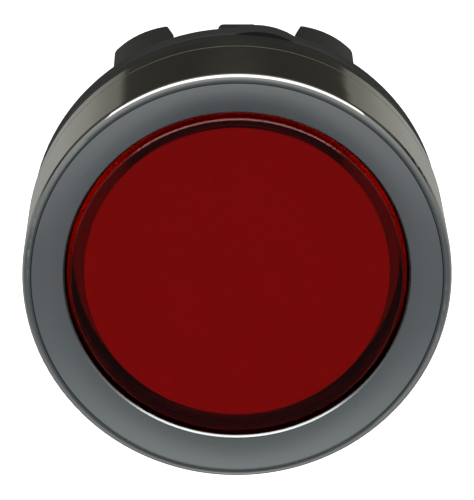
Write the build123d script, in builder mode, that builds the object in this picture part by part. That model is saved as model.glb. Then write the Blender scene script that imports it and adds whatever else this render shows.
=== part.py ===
from build123d import *
import math
import os

# Illuminated flush push-button head for a 22 mm panel cut-out.
# Millimetres. The head's axis is Y and its front faces -Y; +Z is up, where the locating key is.
# The origin is on the axis, in the panel's front plane, which is the rear face of the panel gasket.
# In the round sections below, X is the radius and Y runs along the axis, from front to rear.

os.makedirs("parts", exist_ok=True)

# Clearances
running = 0.10  # radial, between a sliding piece and its guide
loose = 0.30  # between pieces that move past each other without guiding
seated = 0.05  # between pieces of one body that slip together

# Button
travel = 4.3
lens_radius = 11.5
lens_proud = 0.05  # front of the lens beyond the bezel's inner edge
lens_plate = 1.30
lens_wall = 1.10
lens_skirt = 1.85  # behind the plate
lens_bevel = 0.25  # steep slope round the front edge
lens_bevel_depth = 0.65
lens_edge = 0.08
insert_thickness = 0.30
stack_gap = 0.03  # air between the lens and the insert, the diffuser and the carrier
diffuser_thickness = 0.72
diffuser_inset = 0.14

# Bezel
head_radius = 14.5
protrusion = 11.5  # rim of the bezel to the panel
bezel_wall = 1.20
bezel_land = 2.40  # length of the bore that the button slides in
bezel_lens_gap = 0.15
rim_width = 0.57
rim_step = 0.06  # slope from the rim down to the face, as deep as it is wide
face_dish = 0.54
face_hollow = 0.08  # depth of the dish's own curve
rim_round = 0.45
lip_chamfer = 0.12
skirt_groove = 0.04
skirt_groove_from_rear = 1.5

# Body
flange_thickness = 1.8
flange_plate = 0.9
flange_step = 0.16  # flange and gasket stand in from the bezel's side
collar_wall = 0.95
barrel_radius = 11.0
barrel_wall = 1.5
barrel_length = 10.8  # behind the panel
relief_width = 0.7  # grooves before and after the stretch where a fixing collar seats
relief_depth = 0.3
edge_round = 0.2
web_thickness = 2.0
bush_wall = 0.8
key_width = 2.8
key_radius = 12.7
key_length = 6.6
key_round = 0.55
key_offset = 0.2  # towards +X

# Seals
gasket_thickness = 1.7
gasket_notch_gap = 0.1
hump_radius = 5.0  # low hump on the gasket's edge, beside the key
hump_rise = 0.15
hump_offset = 1.3  # towards +X
clamp_ring_thickness = 0.4
bead_thickness = 0.5
bead_width = 1.45
membrane = 0.35
membrane_drop = 1.6
neck_bead_width = 0.75
cord_seal = 0.24  # cord radius of the two O-rings
seal_gap = 0.02

# Plunger
plunger_wall = 1.1
plunger_flange = 0.8
flat_depth = 0.5
leg_length = 2.2
leg_half_width = 3.2
plunger_tail = 1.25  # tube beyond the cage wall, before the legs
clip_thickness = 0.55
clip_groove = 0.50
clip_opening = 60  # degrees

# Return spring
wire_radius = 0.45
coil_gap = 0.35  # radial, on each side of the wire
coil_turns = 5.5
washer_thickness = 0.40
spring_space = 10.3

# Rear cage
cage_wall = 0.9
cage_back = 1.6
lug_end = 19.9
lug_wall = 1.4
notch_half_width = 4.4
notch_flare_start = 1.3  # behind the end of the barrel
notch_knee = 4.4  # behind the end of the barrel
notch_knee_half_width = 4.9
notch_knee_round = 1.2
notch_flare_half_width = 8.9
side_notch_half_height = 6.45
side_notch_floor = 1.7  # behind the end of the barrel
lug_corner = 0.5
snap_from_end = 5.1
snap_length = 1.2
snap_half_width = 1.4
snap_height = 1.0
window_gap = 0.2

# Lens carrier
carrier_flange = 0.8
carrier_rim_wall = 1.0
neck_wall = 1.45
neck_length = 0.9
guide_disc_gap = 0.2
guide_disc_thickness = 0.7
guide_stem_gap = 0.15
guide_stem_length = 9.8
guide_seat_depth = 0.2  # step that keeps the lamp off the stem

# Stations along the axis
rim_y = -protrusion
lip_y = rim_y + rim_step + face_dish
flange_radius = head_radius - flange_step
land_y = lip_y + bezel_land
gasket_front_y = -gasket_thickness
flange_front_y = gasket_front_y - flange_thickness
plate_front_y = gasket_front_y - flange_plate
bead_front_y = land_y + clamp_ring_thickness
collar_front_y = bead_front_y + bead_thickness

lens_front_y = lip_y - lens_proud
plate_rear_y = lens_front_y + lens_plate
lens_rear_y = plate_rear_y + lens_skirt - stack_gap
insert_front_y = plate_rear_y + stack_gap
insert_rear_y = insert_front_y + insert_thickness
diffuser_front_y = insert_rear_y + stack_gap
diffuser_rear_y = diffuser_front_y + diffuser_thickness
flange_top_y = lens_rear_y + stack_gap
neck_front_y = flange_top_y + carrier_flange
plunger_flange_y = neck_front_y + neck_length
plunger_flange_rear_y = plunger_flange_y + plunger_flange
web_front_y = plunger_flange_rear_y + travel + loose
web_rear_y = web_front_y + web_thickness
clip_front_y = web_rear_y + 2 * running
clip_rear_y = clip_front_y + clip_thickness
spring_front_y = clip_rear_y + washer_thickness
spring_rear_y = spring_front_y + spring_space
cage_wall_y = spring_rear_y + washer_thickness
cage_rear_y = cage_wall_y + cage_back
plunger_rear_y = cage_rear_y + plunger_tail
leg_end_y = plunger_rear_y + leg_length
flat_start_y = cage_wall_y - travel - loose
lamp_seat_y = flange_top_y + guide_stem_length + guide_seat_depth

# Radii
bezel_bore = lens_radius + bezel_lens_gap
skirt_bore = head_radius - bezel_wall
collar_radius = skirt_bore - seated
collar_bore = collar_radius - collar_wall
lens_bore = lens_radius - lens_wall
carrier_radius = lens_radius - running
diffuser_radius = lens_bore - diffuser_inset
barrel_bore = barrel_radius - barrel_wall
cage_radius = barrel_bore - running
cage_bore = cage_radius - cage_wall
lug_bore = barrel_radius - lug_wall
coil_radius = cage_bore - coil_gap - wire_radius
plunger_radius = coil_radius - wire_radius - coil_gap
plunger_bore = plunger_radius - plunger_wall
guide_bore = plunger_bore - guide_seat_depth
flat_half_height = plunger_radius - flat_depth
plunger_flange_radius = barrel_bore - loose - seated
bush_bore = plunger_radius + running
bush_radius = bush_bore + bush_wall
clip_radius = cage_bore - 2 * loose
rim_radius = lens_bore - running
rim_bore = rim_radius - carrier_rim_wall
neck_bore = plunger_radius + running
neck_radius = neck_bore + neck_wall
bead_bore = collar_radius - seated - bead_width
membrane_outer = bead_bore + seated + membrane / 2
membrane_inner = plunger_flange_radius + loose + membrane
membrane_turn = (membrane_outer - membrane_inner) / 2


def ring(inner, outer, front, rear):
    """Corners of a plain ring's section."""
    return [(inner, front), (outer, front), (outer, rear), (inner, rear)]


def circles(solid, radius, y):
    """Circular edges of a piece, of one radius and at one station."""
    found = solid.edges().filter_by(GeomType.CIRCLE)
    return found.filter_by(lambda e: abs(e.radius - radius) < 1e-3 and abs(e.arc_center.Y - y) < 1e-3)


def save(piece, name):
    """Label a finished piece and write it."""
    piece.part.label = name
    export_step(piece.part, f"parts/{name}.step")


# Bezel: chromed die-cast cup with a rounded rim, a short step and a shallow dished face.
groove_y = flange_front_y - skirt_groove_from_rear
face_outer = head_radius - rim_width - rim_step
with BuildPart() as bezel:
    with BuildSketch(Plane.XY):
        with BuildLine():
            ThreePointArc(
                (bezel_bore, lip_y),
                ((bezel_bore + face_outer) / 2, lip_y - face_dish / 2 + face_hollow),
                (face_outer, lip_y - face_dish),
            )
            Polyline(
                (face_outer, lip_y - face_dish),
                (head_radius - rim_width, rim_y),
                (head_radius, rim_y),
                (head_radius, groove_y - skirt_groove),
                (head_radius - skirt_groove, groove_y),
                (head_radius, groove_y + skirt_groove),
                (head_radius, flange_front_y),
                (skirt_bore, flange_front_y),
                (skirt_bore, land_y),
                (bezel_bore, land_y),
                (bezel_bore, lip_y),
            )
        make_face()
    revolve(axis=Axis.Y)
    fillet(circles(bezel, head_radius, rim_y), min(rim_round, 0.8 * rim_width))
    chamfer(circles(bezel, head_radius, flange_front_y), lip_chamfer)
    chamfer(circles(bezel, bezel_bore, lip_y), lip_chamfer)
save(bezel, "bezel")

# Body: collar inside the bezel, flange on the gasket, barrel through the panel, web that guides the plunger.
oring_y = (collar_front_y + flange_front_y) / 2
oring_groove = skirt_bore - 2 * (cord_seal + seal_gap)
window_y = barrel_length - snap_from_end
relief_y = key_length + seated
with BuildPart() as body:
    with BuildSketch(Plane.XY):
        with BuildLine():
            Polyline(
                (collar_bore, collar_front_y),
                (collar_radius, collar_front_y),
                (collar_radius, oring_y - cord_seal - seated),
                (oring_groove, oring_y - cord_seal - seated),
                (oring_groove, oring_y + cord_seal + seated),
                (collar_radius, oring_y + cord_seal + seated),
                (collar_radius, flange_front_y),
                (flange_radius, flange_front_y),
                (flange_radius, gasket_front_y),
                (barrel_radius, gasket_front_y),
                (barrel_radius, relief_y),
                (barrel_radius - relief_depth, relief_y),
                (barrel_radius - relief_depth, relief_y + relief_width),
                (barrel_radius, relief_y + relief_width),
                (barrel_radius, barrel_length),
                (barrel_bore, barrel_length),
                (barrel_bore, web_rear_y),
                (bush_radius, web_rear_y),
                (bush_radius, web_front_y),
                (barrel_bore, web_front_y),
                (barrel_bore, plate_front_y),
                (collar_bore, plate_front_y),
                close=True,
            )
        make_face()
    revolve(axis=Axis.Y)
    flange_edges = circles(body, flange_radius, flange_front_y) + circles(body, flange_radius, gasket_front_y)
    fillet(flange_edges, edge_round)
    with BuildSketch(Plane.XY.offset(barrel_radius - barrel_wall / 2)):
        with Locations((key_offset, gasket_front_y)):
            Rectangle(key_width, key_length + gasket_thickness, align=(Align.CENTER, Align.MIN))
    extrude(amount=key_radius - barrel_radius + barrel_wall / 2)
    key_top = body.faces().filter_by(Axis.Z).sort_by(Axis.Z)[-1]
    fillet(key_top.edges().sort_by(Axis.Y)[1:], key_round)
    with BuildSketch(Plane.YZ):
        with Locations((window_y, 0)):
            Rectangle(snap_length + 2 * window_gap, 2 * (snap_half_width + window_gap))
    extrude(amount=head_radius, both=True, mode=Mode.SUBTRACT)
save(body, "body")

# Guide bush: slippery sleeve pressed into the body's web.
with BuildPart() as guide_bush:
    with BuildSketch(Plane.XY):
        with BuildLine():
            Polyline(*ring(bush_bore, bush_radius, web_front_y, web_rear_y), close=True)
        make_face()
    revolve(axis=Axis.Y)
    chamfer(circles(guide_bush, bush_bore, web_front_y), 0.2)
save(guide_bush, "guide_bush")

# Rear cage: tube inside the barrel, back wall behind the spring, four lugs for the fixing collar.
lug_base_y = barrel_length + relief_width
flare_y = barrel_length + notch_flare_start
knee_y = barrel_length + notch_knee
side_floor_y = barrel_length + side_notch_floor
side_open = side_notch_half_height + lug_corner
side_mid = side_notch_half_height + lug_corner * (1 - math.sqrt(0.5))
corner_mid_y = lug_end - lug_corner * (1 - math.sqrt(0.5))
with BuildPart() as rear_cage:
    with BuildSketch(Plane.XY):
        with BuildLine():
            Polyline(
                (cage_bore, barrel_length),
                (barrel_radius - relief_depth, barrel_length),
                (barrel_radius - relief_depth, lug_base_y),
                (barrel_radius, lug_base_y),
                (barrel_radius, lug_end),
                (lug_bore, lug_end),
                (lug_bore, cage_rear_y),
                (cage_bore, cage_rear_y),
                close=True,
            )
        make_face()
    revolve(axis=Axis.Y)
    with BuildSketch(Plane.XY) as notch:
        with BuildLine():
            Polyline(
                (-notch_half_width, flare_y),
                (-notch_half_width, barrel_length),
                (notch_half_width, barrel_length),
                (notch_half_width, flare_y),
                (notch_knee_half_width, knee_y),
                (notch_flare_half_width, lug_end),
                (-notch_flare_half_width, lug_end),
                (-notch_knee_half_width, knee_y),
                close=True,
            )
        make_face()
        fillet(notch.vertices().group_by(Axis.Y)[2], notch_knee_round)
    extrude(amount=head_radius, both=True, mode=Mode.SUBTRACT)
    with BuildSketch(Plane.YZ):
        with BuildLine():
            Polyline(
                (lug_end - lug_corner, side_notch_half_height),
                (side_floor_y, side_notch_half_height),
                (side_floor_y, -side_notch_half_height),
                (lug_end - lug_corner, -side_notch_half_height),
            )
            ThreePointArc(
                (lug_end - lug_corner, -side_notch_half_height),
                (corner_mid_y, -side_mid),
                (lug_end, -side_open),
            )
            Line((lug_end, -side_open), (lug_end, side_open))
            ThreePointArc(
                (lug_end, side_open),
                (corner_mid_y, side_mid),
                (lug_end - lug_corner, side_notch_half_height),
            )
        make_face()
    extrude(amount=head_radius, both=True, mode=Mode.SUBTRACT)
    with BuildSketch(Plane.XY):
        with BuildLine():
            Polyline(
                (cage_bore, web_rear_y),
                (cage_radius, web_rear_y),
                (cage_radius, cage_rear_y),
                (plunger_bore, cage_rear_y),
                (plunger_bore, cage_wall_y),
                (cage_bore, cage_wall_y),
                close=True,
            )
        make_face()
    revolve(axis=Axis.Y)
    with BuildSketch(Plane.XZ.offset(-cage_wall_y + cage_back)):
        Circle(plunger_radius + running)
        Rectangle(3 * plunger_radius, 2 * (flat_half_height + running), mode=Mode.INTERSECT)
    extrude(amount=-3 * cage_back, mode=Mode.SUBTRACT)
    for side in (1, -1):
        with BuildSketch(Plane.YZ.offset(side * (cage_radius - cage_wall / 2))):
            with Locations((window_y, 0)):
                Rectangle(snap_length, 2 * snap_half_width)
        extrude(amount=side * (snap_height + cage_wall / 2))
save(rear_cage, "rear_cage")

# Panel gasket: flat ring with a notch for the key.
with BuildPart() as panel_gasket:
    with BuildSketch(Plane.XY):
        with BuildLine():
            Polyline(*ring(barrel_radius + seated, flange_radius, gasket_front_y, 0), close=True)
        make_face()
    revolve(axis=Axis.Y)
    fillet(circles(panel_gasket, flange_radius, 0), 0.35)
    fillet(circles(panel_gasket, flange_radius, gasket_front_y), 0.25)
    with BuildSketch(Plane.XZ):
        with Locations((hump_offset, flange_radius + hump_rise - hump_radius)):
            Circle(hump_radius)
        with Locations((hump_offset, 0)):
            Rectangle(2 * hump_radius, 2 * barrel_radius + 2 * gasket_thickness, mode=Mode.SUBTRACT)
    extrude(amount=gasket_thickness)
    with BuildSketch(Plane.XY.offset(barrel_radius / 2)):
        with Locations((key_offset, -gasket_thickness / 2)):
            Rectangle(key_width + 2 * gasket_notch_gap, 2 * gasket_thickness)
    extrude(amount=key_radius + gasket_notch_gap - barrel_radius / 2, mode=Mode.SUBTRACT)
save(panel_gasket, "panel_gasket")

# Clamp ring: steel washer between the bezel and the diaphragm's outer bead.
with BuildPart() as seal_clamp_ring:
    with BuildSketch(Plane.XY):
        with BuildLine():
            Polyline(*ring(bead_bore, collar_radius - seated, land_y, bead_front_y), close=True)
        make_face()
    revolve(axis=Axis.Y)
save(seal_clamp_ring, "seal_clamp_ring")

# Diaphragm: outer bead on the collar, a rolling fold, inner bead on the carrier's neck.
turn_radius = (membrane_outer + membrane_inner) / 2
turn_y = collar_front_y + membrane_drop
with BuildPart() as diaphragm:
    with BuildSketch(Plane.XY):
        with Locations((turn_radius, turn_y)):
            Circle(membrane_turn + membrane / 2)
            Circle(membrane_turn - membrane / 2, mode=Mode.SUBTRACT)
            Rectangle(bead_width * 4, bead_width * 4, align=(Align.CENTER, Align.MAX), mode=Mode.SUBTRACT)
        with Locations((membrane_outer, turn_y)):
            Rectangle(membrane, turn_y - bead_front_y, align=(Align.CENTER, Align.MAX))
        with Locations((bead_bore, bead_front_y)):
            Rectangle(bead_width, bead_thickness, align=(Align.MIN, Align.MIN))
        with Locations((membrane_inner, turn_y)):
            Rectangle(membrane, turn_y - neck_front_y - seated, align=(Align.CENTER, Align.MAX))
        with Locations((neck_radius + seated, neck_front_y + seated)):
            Rectangle(membrane_inner - neck_radius, membrane, align=(Align.MIN, Align.MIN))
            Rectangle(neck_bead_width, neck_length - 2 * seated, align=(Align.MIN, Align.MIN))
    revolve(axis=Axis.Y)
save(diaphragm, "diaphragm")

# Bezel O-ring, in the collar's groove.
with BuildPart() as bezel_o_ring:
    with BuildSketch(Plane.XY):
        with Locations((oring_groove + cord_seal + seal_gap, oring_y)):
            Circle(cord_seal)
    revolve(axis=Axis.Y)
save(bezel_o_ring, "bezel_o_ring")

# Plunger: spigot in the carrier, flange, tube with two flats, and two legs that work the contacts.
with BuildPart() as plunger:
    with BuildSketch(Plane.XY):
        with BuildLine():
            Polyline(
                (guide_bore, flange_top_y),
                (plunger_radius, flange_top_y),
                (plunger_radius, plunger_flange_y),
                (plunger_flange_radius, plunger_flange_y),
                (plunger_flange_radius, plunger_flange_rear_y),
                (plunger_radius, plunger_flange_rear_y),
                (plunger_radius, clip_front_y - seated),
                (plunger_radius - clip_groove, clip_front_y - seated),
                (plunger_radius - clip_groove, clip_rear_y + seated),
                (plunger_radius, clip_rear_y + seated),
                (plunger_radius, leg_end_y),
                (plunger_bore, leg_end_y),
                (plunger_bore, lamp_seat_y),
                (guide_bore, lamp_seat_y),
                close=True,
            )
        make_face()
    revolve(axis=Axis.Y)
    with BuildSketch(Plane.YZ):
        with Locations((flat_start_y, flat_half_height), (flat_start_y, -flat_half_height - plunger_radius)):
            Rectangle(2 * leg_end_y, plunger_radius, align=(Align.MIN, Align.MIN))
        with Locations((plunger_rear_y, leg_half_width), (plunger_rear_y, -leg_half_width - plunger_radius)):
            Rectangle(2 * leg_length, plunger_radius, align=(Align.MIN, Align.MIN))
    extrude(amount=head_radius, both=True, mode=Mode.SUBTRACT)
save(plunger, "plunger")

# Retaining clip: open ring in the plunger's groove, which stops the button at the front.
clip_inner = plunger_radius - clip_groove + seated
with BuildPart() as retaining_clip:
    with BuildSketch(Plane.XY):
        with BuildLine():
            Polyline(*ring(clip_inner, clip_radius, clip_front_y, clip_rear_y), close=True)
        make_face()
    revolve(axis=Axis.Y)
    with BuildSketch(Plane.XZ):
        with BuildLine():
            Polyline(
                (0, 0),
                (head_radius * math.sin(math.radians(clip_opening / 2)), -head_radius),
                (-head_radius * math.sin(math.radians(clip_opening / 2)), -head_radius),
                close=True,
            )
        make_face()
    extrude(amount=head_radius, both=True, mode=Mode.SUBTRACT)
save(retaining_clip, "retaining_clip")

# Spring washers: one moves with the plunger, one bears on the cage wall.
with BuildPart() as front_spring_washer:
    with BuildSketch(Plane.XY):
        with BuildLine():
            Polyline(
                *ring(plunger_radius + running, cage_bore - loose, clip_rear_y, spring_front_y), close=True
            )
        make_face()
    revolve(axis=Axis.Y)
save(front_spring_washer, "front_spring_washer")

with BuildPart() as rear_spring_washer:
    with BuildSketch(Plane.XY):
        with BuildLine():
            Polyline(
                *ring(plunger_radius + loose, cage_bore - running, spring_rear_y, cage_wall_y), close=True
            )
        make_face()
    revolve(axis=Axis.Y)
save(rear_spring_washer, "rear_spring_washer")

# Return spring: round wire, between the two washers.
coil_height = spring_space - 2 * wire_radius - 2 * seated
coil_start = Vector(0, spring_front_y + wire_radius + seated, 0)
with BuildPart() as return_spring:
    with BuildLine() as coil:
        Helix(coil_height / coil_turns, coil_height, coil_radius, center=coil_start, direction=(0, 1, 0))
    with BuildSketch(coil.line ^ 0):
        Circle(wire_radius)
    sweep(is_frenet=True)
save(return_spring, "return_spring")

# Lens carrier: upstand for the diffuser, flange behind the lens, neck on the plunger's spigot.
seal_y = (diffuser_rear_y + flange_top_y) / 2
seal_groove = lens_bore - 2 * (cord_seal + seal_gap)
with BuildPart() as lens_carrier:
    with BuildSketch(Plane.XY):
        with BuildLine():
            Polyline(
                (rim_bore, diffuser_rear_y),
                (rim_radius, diffuser_rear_y),
                (rim_radius, seal_y - cord_seal - seal_gap),
                (seal_groove, seal_y - cord_seal - seal_gap),
                (seal_groove, seal_y + cord_seal + seal_gap),
                (rim_radius, seal_y + cord_seal + seal_gap),
                (rim_radius, flange_top_y),
                (carrier_radius, flange_top_y),
                (carrier_radius, neck_front_y),
                (neck_radius, neck_front_y),
                (neck_radius, plunger_flange_y),
                (neck_bore, plunger_flange_y),
                (neck_bore, flange_top_y),
                (rim_bore, flange_top_y),
                close=True,
            )
        make_face()
    revolve(axis=Axis.Y)
save(lens_carrier, "lens_carrier")

# Lens seal, between the carrier's upstand and the lens.
with BuildPart() as lens_seal:
    with BuildSketch(Plane.XY):
        with Locations((seal_groove + cord_seal + seal_gap, seal_y)):
            Circle(cord_seal)
    revolve(axis=Axis.Y)
save(lens_seal, "lens_seal")

# Light guide: clear disc behind the diffuser, with a stem in the plunger that meets the lamp.
with BuildPart() as light_guide:
    with BuildSketch(Plane.XY):
        with BuildLine():
            Polyline(
                (0, flange_top_y - guide_disc_thickness),
                (rim_bore - guide_disc_gap, flange_top_y - guide_disc_thickness),
                (rim_bore - guide_disc_gap, flange_top_y),
                (guide_bore - guide_stem_gap, flange_top_y),
                (guide_bore - guide_stem_gap, flange_top_y + guide_stem_length),
                (0, flange_top_y + guide_stem_length),
                close=True,
            )
        make_face()
    revolve(axis=Axis.Y)
save(light_guide, "light_guide")

# Diffuser, on the carrier's upstand, and the blank legend insert in front of it.
with BuildPart() as diffuser:
    with BuildSketch(Plane.XY):
        with BuildLine():
            Polyline(*ring(0, diffuser_radius, diffuser_front_y, diffuser_rear_y), close=True)
        make_face()
    revolve(axis=Axis.Y)
save(diffuser, "diffuser")

with BuildPart() as legend_insert:
    with BuildSketch(Plane.XY):
        with BuildLine():
            Polyline(*ring(0, lens_bore - seated, insert_front_y, insert_rear_y), close=True)
        make_face()
    revolve(axis=Axis.Y)
save(legend_insert, "legend_insert")

# Lens: clear red cap that fills the bezel's bore.
with BuildPart() as lens:
    with BuildSketch(Plane.XY):
        with BuildLine():
            Polyline(
                (0, lens_front_y),
                (lens_radius - lens_bevel - lens_edge, lens_front_y),
                (lens_radius - lens_bevel, lens_front_y + lens_edge),
                (lens_radius, lens_front_y + lens_bevel_depth),
                (lens_radius, lens_rear_y),
                (lens_bore, lens_rear_y),
                (lens_bore, plate_rear_y),
                (0, plate_rear_y),
                close=True,
            )
        make_face()
    revolve(axis=Axis.Y)
save(lens, "lens")
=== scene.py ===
import math

import bmesh
import bpy
from mathutils import Matrix, Vector


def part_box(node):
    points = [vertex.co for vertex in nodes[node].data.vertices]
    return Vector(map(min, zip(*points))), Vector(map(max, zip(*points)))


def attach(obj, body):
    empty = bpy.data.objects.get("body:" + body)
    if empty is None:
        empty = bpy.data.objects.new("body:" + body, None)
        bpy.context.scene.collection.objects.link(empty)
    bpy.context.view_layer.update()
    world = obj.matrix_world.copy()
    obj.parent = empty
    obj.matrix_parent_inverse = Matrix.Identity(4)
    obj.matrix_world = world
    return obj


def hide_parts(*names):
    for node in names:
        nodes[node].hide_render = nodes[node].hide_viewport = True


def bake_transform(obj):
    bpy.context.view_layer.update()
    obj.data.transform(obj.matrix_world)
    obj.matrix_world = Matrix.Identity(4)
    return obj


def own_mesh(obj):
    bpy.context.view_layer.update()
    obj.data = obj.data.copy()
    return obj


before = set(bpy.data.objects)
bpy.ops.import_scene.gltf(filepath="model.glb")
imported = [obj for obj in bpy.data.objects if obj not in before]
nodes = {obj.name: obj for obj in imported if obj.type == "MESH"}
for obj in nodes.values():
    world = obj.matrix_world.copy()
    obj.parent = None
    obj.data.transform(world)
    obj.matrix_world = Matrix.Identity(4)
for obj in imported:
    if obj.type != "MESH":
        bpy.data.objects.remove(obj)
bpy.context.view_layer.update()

MM = 0.001


# ---------------------------------------------------------------- places taken from the frame

bezel_low, bezel_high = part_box("bezel")
RIM_RADIUS = bezel_high.x
RIM_Y = bezel_low.y
LENS_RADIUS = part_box("lens")[1].x

FACE_RADIUS = RIM_RADIUS - 0.34 * MM  # where the satin face meets the polished rim
FACE_BACK_Y = RIM_Y + 0.90 * MM  # just behind the dish's deepest place
STEP_RADIUS = RIM_RADIUS - 0.60 * MM  # middle of the small step under the rim
GROOVE_Y = -5.0 * MM  # fine groove round the bezel's side
FADE = 0.05 * MM  # half the width over which the satin passes into the polish


# ---------------------------------------------------------------- small helpers

def linear(hex_colour):
    """sRGB hex colour as linear RGBA."""
    values = [int(hex_colour[i:i + 2], 16) / 255 for i in (1, 3, 5)]
    return [v / 12.92 if v <= 0.04045 else ((v + 0.055) / 1.055) ** 2.4 for v in values] + [1.0]


def add(tree, kind, inputs=None, **settings):
    """Add a node: settings are its attributes, inputs are values or sockets by name or number."""
    made = tree.nodes.new(kind)
    for name, value in settings.items():
        setattr(made, name, value)
    for key, value in (inputs or {}).items():
        if isinstance(value, bpy.types.NodeSocket):
            tree.links.new(value, made.inputs[key])
        else:
            made.inputs[key].default_value = value
    return made


def new_material(name):
    """An empty node material with its output."""
    material = bpy.data.materials.new(name)
    material.use_nodes = True
    tree = material.node_tree
    tree.nodes.clear()
    output = add(tree, "ShaderNodeOutputMaterial")
    return material, tree, output


def finish_surface(tree, output, shader):
    """Join the shader to the material's output."""
    tree.links.new(shader.outputs[0], output.inputs["Surface"])


def axis_place(tree, place):
    """Distance from the object's axis, and the place along it."""
    split = add(tree, "ShaderNodeSeparateXYZ", {0: place})
    across = add(tree, "ShaderNodeCombineXYZ", {"X": split.outputs["X"], "Z": split.outputs["Z"]})
    length = add(tree, "ShaderNodeVectorMath", {0: across.outputs[0]}, operation="LENGTH")
    return length.outputs["Value"], split.outputs["Y"]


def within(tree, value, middle, inner, outer):
    """1 where the value is nearer to the middle than inner, falling to 0 at outer."""
    offset = add(tree, "ShaderNodeMath", {0: value, 1: middle}, operation="SUBTRACT").outputs[0]
    distance = add(tree, "ShaderNodeMath", {0: offset}, operation="ABSOLUTE").outputs[0]
    return add(tree, "ShaderNodeMapRange", {
        "Value": distance, "From Min": outer, "From Max": inner}).outputs[0]


# ---------------------------------------------------------------- materials

def chromed_zinc():
    """Die-cast zinc, nickel and chrome plated: the dished face is bead-blasted satin, the rim and
    the side are polished, with the faint waviness of a casting under its plating. The polish does
    not reach into the step under the rim or the groove round the side, which stay dull and are
    darkened in colour as painted shade."""
    material, tree, output = new_material("chromed_die_cast_zinc")
    place = add(tree, "ShaderNodeTexCoord").outputs["Object"]
    radius, along = axis_place(tree, place)

    inside_rim = add(tree, "ShaderNodeMapRange", {
        "Value": radius, "From Min": FACE_RADIUS + FADE, "From Max": FACE_RADIUS - FADE},
        interpolation_type="SMOOTHSTEP").outputs[0]
    at_front = add(tree, "ShaderNodeMapRange", {
        "Value": along, "From Min": FACE_BACK_Y + FADE, "From Max": FACE_BACK_Y - FADE}).outputs[0]
    satin = add(tree, "ShaderNodeMath", {0: inside_rim, 1: at_front}, operation="MULTIPLY").outputs[0]
    # the groove round the side: rougher and dull, and darkened in colour as painted shade in the recess
    dull_shaded_groove = within(tree, along, GROOVE_Y, 0.05 * MM, 0.07 * MM)
    # the step under the rim: rougher and dull, and darkened in colour as painted shade in its corner
    dull_shaded_step = within(tree, radius, STEP_RADIUS, 0.03 * MM, 0.05 * MM)

    blotch = add(tree, "ShaderNodeTexNoise", {
        "Vector": place, "Scale": 1 / (5.0 * MM), "Detail": 4.0}).outputs[0]
    face_rough = add(tree, "ShaderNodeMapRange", {
        "Value": blotch, "From Min": 0.3, "From Max": 0.7, "To Min": 0.24, "To Max": 0.29}).outputs[0]
    satin_rough = add(tree, "ShaderNodeMix", {0: dull_shaded_step, 2: face_rough, 3: 0.45}).outputs[0]
    polished_rough = add(tree, "ShaderNodeMix", {0: dull_shaded_groove, 2: 0.07, 3: 0.45}).outputs[0]
    rough = add(tree, "ShaderNodeMix", {0: satin, 2: polished_rough, 3: satin_rough}).outputs[0]

    # painted shade: the step under the rim takes a much darker colour (#55585a) standing in for the
    # shade in its corner
    satin_tint_and_step_shade = add(tree, "ShaderNodeMix", {
        0: dull_shaded_step, 6: linear("#c4c6c6"), 7: linear("#55585a")}, data_type="RGBA").outputs[2]
    # painted shade: the groove round the side takes a much darker colour (#5d5b55) standing in for the
    # shade in the recess
    polished_tint_and_groove_shade = add(tree, "ShaderNodeMix", {
        0: dull_shaded_groove, 6: linear("#c9c8c4"), 7: linear("#5d5b55")}, data_type="RGBA").outputs[2]
    tint = add(tree, "ShaderNodeMix", {
        0: satin, 6: polished_tint_and_groove_shade, 7: satin_tint_and_step_shade}, data_type="RGBA").outputs[2]

    waves = add(tree, "ShaderNodeTexNoise", {
        "Vector": place, "Scale": 1 / (3.2 * MM), "Detail": 1.0}).outputs[0]
    wave_bump = add(tree, "ShaderNodeBump", {"Strength": 0.05, "Distance": 0.2 * MM, "Height": waves})
    grit = add(tree, "ShaderNodeTexNoise", {
        "Vector": place, "Scale": 1 / (0.11 * MM), "Detail": 3.0, "Roughness": 0.6}).outputs[0]
    grit_depth = add(tree, "ShaderNodeMath", {0: satin, 1: 0.10}, operation="MULTIPLY").outputs[0]
    bump = add(tree, "ShaderNodeBump", {
        "Strength": grit_depth, "Distance": 0.02 * MM, "Height": grit, "Normal": wave_bump.outputs[0]})
    shader = add(tree, "ShaderNodeBsdfPrincipled", {
        "Base Color": tint, "Metallic": 1.0, "Roughness": rough, "Normal": bump.outputs[0]})
    finish_surface(tree, output, shader)
    return material


def moulded_plastic(name, hex_colour, lighter_hex, roughness, grain_mm, depth):
    """Injection-moulded plastic from a spark-eroded tool: a fine even grain and a faint mottle."""
    material, tree, output = new_material(name)
    place = add(tree, "ShaderNodeTexCoord").outputs["Object"]
    grain = add(tree, "ShaderNodeTexNoise", {
        "Vector": place, "Scale": 1 / (grain_mm * MM), "Detail": 3.0}).outputs[0]
    mottle = add(tree, "ShaderNodeTexNoise", {
        "Vector": place, "Scale": 1 / (4.0 * MM), "Detail": 3.0}).outputs[0]
    colour = add(tree, "ShaderNodeMix", {
        0: mottle, 6: linear(hex_colour), 7: linear(lighter_hex)}, data_type="RGBA").outputs[2]
    rough = add(tree, "ShaderNodeMapRange", {
        "Value": mottle, "To Min": roughness - 0.05, "To Max": roughness + 0.05}).outputs[0]
    bump = add(tree, "ShaderNodeBump", {"Strength": depth, "Distance": 0.02 * MM, "Height": grain})
    shader = add(tree, "ShaderNodeBsdfPrincipled", {
        "Base Color": colour, "Roughness": rough, "Normal": bump.outputs[0], "IOR": 1.5})
    finish_surface(tree, output, shader)
    return material


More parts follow.
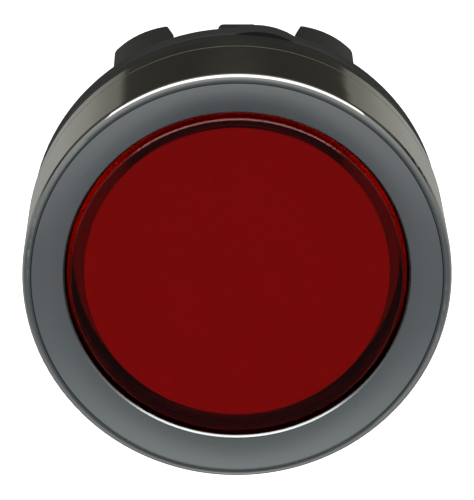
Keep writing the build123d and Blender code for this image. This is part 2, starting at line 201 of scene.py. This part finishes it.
def clear_plastic(name, hex_colour, ior):
    """Clear moulded polycarbonate: glossy, with a very slight ripple from moulding."""
    material, tree, output = new_material(name)
    place = add(tree, "ShaderNodeTexCoord").outputs["Object"]
    ripple = add(tree, "ShaderNodeTexNoise", {
        "Vector": place, "Scale": 1 / (2.5 * MM), "Detail": 1.0}).outputs[0]
    bump = add(tree, "ShaderNodeBump", {"Strength": 0.02, "Distance": 0.1 * MM, "Height": ripple})
    shader = add(tree, "ShaderNodeBsdfPrincipled", {
        "Base Color": linear(hex_colour), "Roughness": 0.04, "IOR": ior,
        "Transmission Weight": 1.0, "Normal": bump.outputs[0]})
    finish_surface(tree, output, shader)
    return material


def lens_plastic(name, hex_colour, ior):
    """Clear tinted polycarbonate cap: glossy, faintly rippled by its mould, nicked along its
    front edge."""
    material, tree, output = new_material(name)
    place = add(tree, "ShaderNodeTexCoord").outputs["Object"]
    radius, _ = axis_place(tree, place)
    at_edge = add(tree, "ShaderNodeMapRange", {
        "Value": radius, "From Min": LENS_RADIUS - 0.42 * MM, "From Max": LENS_RADIUS - 0.30 * MM,
        "To Min": 0.0, "To Max": 0.5}).outputs[0]
    ripple = add(tree, "ShaderNodeTexNoise", {
        "Vector": place, "Scale": 1 / (2.5 * MM), "Detail": 1.0}).outputs[0]
    nicks = add(tree, "ShaderNodeTexNoise", {
        "Vector": place, "Scale": 1 / (0.22 * MM), "Detail": 2.0}).outputs[0]
    soft = add(tree, "ShaderNodeBump", {"Strength": 0.02, "Distance": 0.1 * MM, "Height": ripple})
    bump = add(tree, "ShaderNodeBump", {
        "Strength": at_edge, "Distance": 0.03 * MM, "Height": nicks, "Normal": soft.outputs[0]})
    shader = add(tree, "ShaderNodeBsdfPrincipled", {
        "Base Color": linear(hex_colour), "Roughness": 0.05, "IOR": ior,
        "Transmission Weight": 1.0, "Normal": bump.outputs[0]})
    finish_surface(tree, output, shader)
    return material


def nitrile_rubber():
    """Cut from nitrile sheet: matt, with a faint dusty bloom."""
    material, tree, output = new_material("nitrile_rubber")
    place = add(tree, "ShaderNodeTexCoord").outputs["Object"]
    grain = add(tree, "ShaderNodeTexNoise", {
        "Vector": place, "Scale": 1 / (0.15 * MM), "Detail": 4.0}).outputs[0]
    bloom = add(tree, "ShaderNodeTexNoise", {
        "Vector": place, "Scale": 1 / (3.0 * MM), "Detail": 5.0}).outputs[0]
    colour = add(tree, "ShaderNodeMix", {
        0: bloom, 6: linear("#121412"), 7: linear("#1b1d1a")}, data_type="RGBA").outputs[2]
    bump = add(tree, "ShaderNodeBump", {"Strength": 0.3, "Distance": 0.03 * MM, "Height": grain})
    shader = add(tree, "ShaderNodeBsdfPrincipled", {
        "Base Color": colour, "Roughness": 0.72, "Normal": bump.outputs[0], "IOR": 1.52})
    finish_surface(tree, output, shader)
    return material


def drawn_steel():
    """Bright spring steel: drawn wire and blanked strip, with fine marks from drawing."""
    material, tree, output = new_material("spring_steel")
    place = add(tree, "ShaderNodeTexCoord").outputs["Object"]
    marks = add(tree, "ShaderNodeTexNoise", {
        "Vector": place, "Scale": 1 / (0.3 * MM), "Detail": 4.0}).outputs[0]
    rough = add(tree, "ShaderNodeMapRange", {"Value": marks, "To Min": 0.22, "To Max": 0.38}).outputs[0]
    shader = add(tree, "ShaderNodeBsdfPrincipled", {
        "Base Color": linear("#a8a9ab"), "Metallic": 1.0, "Roughness": rough})
    finish_surface(tree, output, shader)
    return material


POLYCARBONATE_IOR = 1.585

black_nylon = moulded_plastic("black_glass_filled_nylon", "#101211", "#171918", 0.50, 0.16, 0.35)
black_acetal = moulded_plastic("black_acetal", "#1a1514", "#201a19", 0.40, 0.2, 0.15)
white_acetal = moulded_plastic("white_acetal", "#d9d8d2", "#e2e1dc", 0.38, 0.2, 0.15)
natural_acetal = moulded_plastic("natural_acetal", "#cfc9b8", "#d8d2c2", 0.35, 0.2, 0.15)
opal_sheet = moulded_plastic("opal_polycarbonate", "#d8d4d0", "#e0dcd8", 0.55, 0.12, 0.3)
silicone = moulded_plastic("grey_silicone_rubber", "#8a8c8a", "#939593", 0.6, 0.25, 0.3)
chrome = chromed_zinc()
nitrile = nitrile_rubber()
steel = drawn_steel()
red_lens = lens_plastic("clear_red_polycarbonate", "#cc1204", POLYCARBONATE_IOR)
clear_guide = clear_plastic("clear_polycarbonate", "#eef2f2", POLYCARBONATE_IOR)

FINISHES = {
    "bezel": chrome,
    "body": black_nylon,
    "rear_cage": black_nylon,
    "panel_gasket": nitrile,
    "bezel_o_ring": nitrile,
    "lens_seal": nitrile,
    "diaphragm": silicone,
    "seal_clamp_ring": steel,
    "rear_spring_washer": steel,
    "front_spring_washer": steel,
    "retaining_clip": steel,
    "return_spring": steel,
    "guide_bush": natural_acetal,
    "plunger": white_acetal,
    "lens_carrier": black_acetal,
    "light_guide": clear_guide,
    "diffuser": opal_sheet,
    "legend_insert": opal_sheet,
    "lens": red_lens,
}
for name, finish in FINISHES.items():
    node = nodes[name]
    node.data.materials.clear()
    node.data.materials.append(finish)


# ---------------------------------------------------------------- pieces that deform

def link(name, mesh, finish):
    """A piece at the origin, with its finish."""
    piece = bpy.data.objects.new(name, mesh)
    bpy.context.scene.collection.objects.link(piece)
    mesh.materials.clear()
    mesh.materials.append(finish)
    return piece


def lathe(name, section, finish, steps=144):
    """Turn a closed section of (radius, y) corners in mm about the axis."""
    mesh = bpy.data.meshes.new(name)
    points = []
    for step in range(steps):
        turned = 2 * math.pi * step / steps
        points += [(r * MM * math.cos(turned), y * MM, r * MM * math.sin(turned)) for r, y in section]
    count = len(section)
    faces = []
    for step in range(steps):
        here, there = step * count, (step + 1) % steps * count
        for i in range(count):
            after = (i + 1) % count
            faces.append((here + i, here + after, there + after, there + i))
    mesh.from_pydata(points, [], faces)
    made = bmesh.new()
    made.from_mesh(mesh)
    bmesh.ops.recalc_face_normals(made, faces=made.faces)
    made.to_mesh(mesh)
    made.free()
    mesh.shade_smooth()
    mesh.set_sharp_from_angle(angle=math.radians(35))
    return link(name, mesh, finish)


def arc(centre, radius, first, last, steps=16):
    """Points of an arc in the section, angles in degrees from +radius towards +Y."""
    turns = [math.radians(first + (last - first) * i / steps) for i in range(steps + 1)]
    return [(centre[0] + radius * math.cos(a), centre[1] + radius * math.sin(a)) for a in turns]


# the diaphragm's section in mm: a bead held in the body, a rolling fold, and a hub on the button
FOLD = (10.8875, -6.0)  # centre of the fold
FOLD_OUTSIDE, FOLD_INSIDE = 1.2625, 0.9125
BEAD_INNER, BEAD_OUTER = 11.75, 13.2
BEAD_FRONT_Y, BEAD_REAR_Y = -8.1, -7.6
HUB_BORE, HUB_OUTER = 8.5, 9.25
HUB_FRONT_Y, HUB_STEP_Y, HUB_REAR_Y = -6.95, -6.6, -6.15

outer_half = lathe("diaphragm_outer_half", [
    (BEAD_INNER, BEAD_FRONT_Y), (BEAD_OUTER, BEAD_FRONT_Y), (BEAD_OUTER, BEAD_REAR_Y),
    (FOLD[0] + FOLD_OUTSIDE, BEAD_REAR_Y),
    *arc(FOLD, FOLD_OUTSIDE, 0, 90), *arc(FOLD, FOLD_INSIDE, 90, 0),
    (FOLD[0] + FOLD_INSIDE, BEAD_REAR_Y), (BEAD_INNER, BEAD_REAR_Y)], silicone)
inner_half = lathe("diaphragm_inner_half", [
    (HUB_BORE, HUB_FRONT_Y), (FOLD[0] - FOLD_INSIDE, HUB_FRONT_Y),
    *arc(FOLD, FOLD_INSIDE, 180, 90), *arc(FOLD, FOLD_OUTSIDE, 90, 180),
    (FOLD[0] - FOLD_OUTSIDE, HUB_STEP_Y), (HUB_OUTER, HUB_STEP_Y), (HUB_OUTER, HUB_REAR_Y),
    (HUB_BORE, HUB_REAR_Y)], silicone)
for half in (outer_half, inner_half):
    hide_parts("diaphragm")
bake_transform(outer_half)
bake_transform(inner_half)


WIRE_POINTS = 420  # along the whole coil
WIRE_SIDES = 18
CLOSED_PITCH = 2.04  # rise of a closed turn, in wire radii: its turns all but touch
GROUND_INSET = 0.45  # from the ground end to the wire's centre, in wire radii


def coil_tree():
    """Compression spring along Y: even coils, closed at both ends, ground flat."""
    tree = bpy.data.node_groups.new("compression_spring", "GeometryNodeTree")
    for label, value in (("Coil Radius", 8 * MM), ("Wire Radius", 0.5 * MM), ("Turns", 5.0),
                         ("Closed Turns", 1.0), ("Front", 0.0), ("Rear", 10 * MM)):
        socket = tree.interface.new_socket(label, in_out="INPUT", socket_type="NodeSocketFloat")
        socket.default_value = value
    tree.interface.new_socket("Material", in_out="INPUT", socket_type="NodeSocketMaterial")
    tree.interface.new_socket("Geometry", in_out="OUTPUT", socket_type="NodeSocketGeometry")
    given = add(tree, "NodeGroupInput").outputs
    wire, closed, turns = given["Wire Radius"], given["Closed Turns"], given["Turns"]

    # how far each point of the wire has turned
    line = add(tree, "GeometryNodeCurvePrimitiveLine", {"End": (0, 1, 0)})
    dense = add(tree, "GeometryNodeResampleCurve", {"Curve": line.outputs[0], "Count": WIRE_POINTS})
    share = add(tree, "GeometryNodeSplineParameter").outputs["Factor"]
    turned = add(tree, "ShaderNodeMath", {0: share, 1: turns}, operation="MULTIPLY").outputs[0]
    angle = add(tree, "ShaderNodeMath", {0: turned, 1: 2 * math.pi}, operation="MULTIPLY").outputs[0]

    # rise of the closed turns at both ends
    last_open = add(tree, "ShaderNodeMath", {0: turns, 1: closed}, operation="SUBTRACT").outputs[0]
    before = add(tree, "ShaderNodeMath", {0: turned, 1: closed}, operation="MINIMUM").outputs[0]
    past = add(tree, "ShaderNodeMath", {0: turned, 1: last_open}, operation="SUBTRACT").outputs[0]
    after = add(tree, "ShaderNodeMath", {0: past, 1: 0.0}, operation="MAXIMUM").outputs[0]
    ends_turned = add(tree, "ShaderNodeMath", {0: before, 1: after}, operation="ADD").outputs[0]
    pitch = add(tree, "ShaderNodeMath", {0: wire, 1: CLOSED_PITCH}, operation="MULTIPLY").outputs[0]
    ends_rise = add(tree, "ShaderNodeMath", {0: ends_turned, 1: pitch}, operation="MULTIPLY").outputs[0]

    # rise of the open turns, which share what is left of the length
    inset = add(tree, "ShaderNodeMath", {0: wire, 1: GROUND_INSET}, operation="MULTIPLY").outputs[0]
    first_y = add(tree, "ShaderNodeMath", {0: given["Front"], 1: inset}, operation="ADD").outputs[0]
    last_y = add(tree, "ShaderNodeMath", {0: given["Rear"], 1: inset}, operation="SUBTRACT").outputs[0]
    length = add(tree, "ShaderNodeMath", {0: last_y, 1: first_y}, operation="SUBTRACT").outputs[0]
    ends = add(tree, "ShaderNodeMath", {0: closed, 1: 2.0}, operation="MULTIPLY").outputs[0]
    ends_length = add(tree, "ShaderNodeMath", {0: ends, 1: pitch}, operation="MULTIPLY").outputs[0]
    open_length = add(tree, "ShaderNodeMath", {
        0: length, 1: ends_length}, operation="SUBTRACT").outputs[0]
    open_share = add(tree, "ShaderNodeMapRange", {
        "Value": turned, "From Min": closed, "From Max": last_open}).outputs[0]
    open_rise = add(tree, "ShaderNodeMath", {
        0: open_share, 1: open_length}, operation="MULTIPLY").outputs[0]

    # the wound wire
    rise = add(tree, "ShaderNodeMath", {0: ends_rise, 1: open_rise}, operation="ADD").outputs[0]
    centre_y = add(tree, "ShaderNodeMath", {0: first_y, 1: rise}, operation="ADD").outputs[0]
    cosine = add(tree, "ShaderNodeMath", {0: angle}, operation="COSINE").outputs[0]
    sine = add(tree, "ShaderNodeMath", {0: angle}, operation="SINE").outputs[0]
    centre_x = add(tree, "ShaderNodeMath", {
        0: given["Coil Radius"], 1: cosine}, operation="MULTIPLY").outputs[0]
    centre_z = add(tree, "ShaderNodeMath", {
        0: given["Coil Radius"], 1: sine}, operation="MULTIPLY").outputs[0]
    at = add(tree, "ShaderNodeCombineXYZ", {"X": centre_x, "Y": centre_y, "Z": centre_z})
    wound = add(tree, "GeometryNodeSetPosition", {
        "Geometry": dense.outputs[0], "Position": at.outputs[0]})
    section = add(tree, "GeometryNodeCurvePrimitiveCircle", {"Resolution": WIRE_SIDES, "Radius": wire})
    coil = add(tree, "GeometryNodeCurveToMesh", {
        "Curve": wound.outputs[0], "Profile Curve": section.outputs[0], "Fill Caps": True})

    # both ends ground flat
    place = add(tree, "GeometryNodeInputPosition").outputs[0]
    here = add(tree, "ShaderNodeSeparateXYZ", {0: place}).outputs
    front_y = add(tree, "ShaderNodeMath", {
        0: here["Y"], 1: given["Front"]}, operation="MAXIMUM").outputs[0]
    ground_y = add(tree, "ShaderNodeMath", {
        0: front_y, 1: given["Rear"]}, operation="MINIMUM").outputs[0]
    ground_at = add(tree, "ShaderNodeCombineXYZ", {"X": here["X"], "Y": ground_y, "Z": here["Z"]})
    ground = add(tree, "GeometryNodeSetPosition", {
        "Geometry": coil.outputs[0], "Position": ground_at.outputs[0]})
    smooth = add(tree, "GeometryNodeSetShadeSmooth", {"Geometry": ground.outputs[0]})
    real = add(tree, "GeometryNodeRealizeInstances", {"Geometry": smooth.outputs[0]})
    coated = add(tree, "GeometryNodeSetMaterial", {
        "Geometry": real.outputs[0], "Material": given["Material"]})
    add(tree, "NodeGroupOutput", {"Geometry": coated.outputs[0]})
    return tree


WIRE_RADIUS = 0.45 * MM
spring_low, spring_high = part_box("return_spring")
holder = bpy.data.objects.new("spring_holder", bpy.data.meshes.new("spring_holder"))
bpy.context.scene.collection.objects.link(holder)
winding = holder.modifiers.new("winding", "NODES")
winding.node_group = coil_tree()
sizes = {
    "Coil Radius": spring_high.x - WIRE_RADIUS, "Wire Radius": WIRE_RADIUS, "Turns": 6.0,
    "Closed Turns": 0.9, "Front": spring_low.y, "Rear": spring_high.y, "Material": steel}
for socket in winding.node_group.interface.items_tree:
    if socket.in_out == "INPUT":
        winding[socket.identifier] = sizes[socket.name]
evaluated = holder.evaluated_get(bpy.context.evaluated_depsgraph_get())
coil_mesh = bpy.data.meshes.new_from_object(evaluated)
holder.modifiers.remove(winding)
bpy.data.objects.remove(holder)
spring = link("coiled_spring", coil_mesh, steel)
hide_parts("return_spring")
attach(spring, "root")
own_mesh(spring)


# ---------------------------------------------------------------- camera

ELEVATION = math.radians(20.35)
AZIMUTH = math.radians(-0.5)
DISTANCE = 236.3 * MM
FOCAL_LENGTH = 252.0
AIM = Vector((0.0, RIM_Y + 1.24 * MM, 1.72 * MM))

away = Vector((
    math.sin(AZIMUTH) * math.cos(ELEVATION),
    -math.cos(AZIMUTH) * math.cos(ELEVATION),
    math.sin(ELEVATION),
))
right = Vector((math.cos(AZIMUTH), math.sin(AZIMUTH), 0.0))
up = away.cross(right)
eye = AIM + DISTANCE * away
camera_data = bpy.data.cameras.new("camera")
camera_data.lens = FOCAL_LENGTH
camera_data.clip_start = 0.01
camera_data.clip_end = 20.0
camera = bpy.data.objects.new("camera", camera_data)
bpy.context.scene.collection.objects.link(camera)
camera.matrix_world = Matrix((
    (right.x, up.x, away.x, eye.x),
    (right.y, up.y, away.y, eye.y),
    (right.z, up.z, away.z, eye.z),
    (0, 0, 0, 1),
))
bpy.context.scene.camera = camera


# ---------------------------------------------------------------- floor, room and light

FLOOR_Z = -0.06
FLOOR_SIZE = 6.0

bpy.ops.mesh.primitive_plane_add(size=FLOOR_SIZE, location=(0, 0, FLOOR_Z))
floor = bpy.context.object
floor.name = "floor"
paper, tree, output = new_material("white_paper_floor")
shader = add(tree, "ShaderNodeBsdfPrincipled", {
    "Base Color": linear("#fbfbfb"), "Roughness": 0.9,
    "Emission Color": (1, 1, 1, 1), "Emission Strength": 0.7})
finish_surface(tree, output, shader)
floor.data.materials.append(paper)
floor.visible_glossy = False  # polished metal mirrors the room's soft gradient instead

# shades of the room by the height of the direction, from -1 straight down to 1 straight up
ROOM = {
    # in front of the object: the table, the dark space round the operator, and the ceiling
    "ahead": [
        (-1.0, "#b6b8b8"), (-0.90, "#b6b8b8"), (-0.78, "#76797c"), (-0.64, "#505457"),
        (-0.50, "#3a3e41"), (-0.38, "#3a3e41"), (-0.30, "#3c4043"), (-0.20, "#5a5f61"),
        (-0.08, "#6c7171"), (0.13, "#7d8383"), (0.40, "#adb1b1"), (1.0, "#c1c2c3")],
    # in front and to either side: the lighter room beyond the operator
    "beside": [
        (-1.0, "#a0a2a2"), (-0.63, "#8c9092"), (-0.48, "#72767a"), (-0.34, "#6c7073"),
        (-0.20, "#70757a"), (0.0, "#8d9292"), (0.40, "#a5a9a9"), (1.0, "#c1c2c3")],
    # behind the object: a pale table up to just over the horizon, and a dark unlit room above it
    "behind": [
        (-1.0, "#7c7f80"), (-0.60, "#8f9190"), (-0.15, "#a3a39e"), (-0.02, "#96968f"),
        (0.06, "#817f78"), (0.104, "#787770"), (0.122, "#3b3933"), (0.28, "#34332f"),
        (0.36, "#5a574d"), (0.60, "#4d4b44"), (1.0, "#c1c1bd")],
}

world = bpy.data.worlds.new("studio")
bpy.context.scene.world = world
world.use_nodes = True
tree = world.node_tree
tree.nodes.clear()
direction = add(tree, "ShaderNodeTexCoord").outputs["Generated"]
way = add(tree, "ShaderNodeSeparateXYZ", {0: direction}).outputs
height = add(tree, "ShaderNodeMapRange", {
    "Value": way["Z"], "From Min": -1.0, "From Max": 1.0}).outputs[0]
shades = {}
for part, stops in ROOM.items():
    ramp = add(tree, "ShaderNodeValToRGB", {0: height})
    elements = ramp.color_ramp.elements
    while len(elements) < len(stops):
        elements.new(0.5)
    for element, (level, hex_colour) in zip(elements, stops):
        element.position = (level + 1) / 2
        element.color = linear(hex_colour)
    shades[part] = ramp.outputs[0]
across = add(tree, "ShaderNodeMath", {0: way["X"]}, operation="ABSOLUTE").outputs[0]
sideways = add(tree, "ShaderNodeMapRange", {
    "Value": across, "From Min": 0.05, "From Max": 0.22}, interpolation_type="SMOOTHSTEP").outputs[0]
backwards = add(tree, "ShaderNodeMapRange", {
    "Value": way["Y"], "From Min": -0.15, "From Max": 0.15}, interpolation_type="SMOOTHSTEP").outputs[0]
front = add(tree, "ShaderNodeMix", {
    0: sideways, 6: shades["ahead"], 7: shades["beside"]}, data_type="RGBA").outputs[2]
shade = add(tree, "ShaderNodeMix", {
    0: backwards, 6: front, 7: shades["behind"]}, data_type="RGBA").outputs[2]
sky = add(tree, "ShaderNodeBackground", {"Color": shade, "Strength": 1.0})
add(tree, "ShaderNodeOutputWorld", {"Surface": sky.outputs[0]})

# a wide softbox overhead and slightly in front, facing the object
SOFTBOX_AT = Vector((0, -0.12, 0.85))
SOFTBOX_WIDTH, SOFTBOX_DEPTH = 1.9, 0.82
SOFTBOX_WATTS = 8.6

softbox_data = bpy.data.lights.new("softbox_above", "AREA")
softbox_data.shape = "RECTANGLE"
softbox_data.size = SOFTBOX_WIDTH
softbox_data.size_y = SOFTBOX_DEPTH
softbox_data.energy = SOFTBOX_WATTS
softbox = bpy.data.objects.new("softbox_above", softbox_data)
bpy.context.scene.collection.objects.link(softbox)
softbox.location = SOFTBOX_AT
softbox.rotation_euler = (-SOFTBOX_AT).to_track_quat("-Z", "Y").to_euler()

bpy.context.scene.view_settings.view_transform = "Standard"
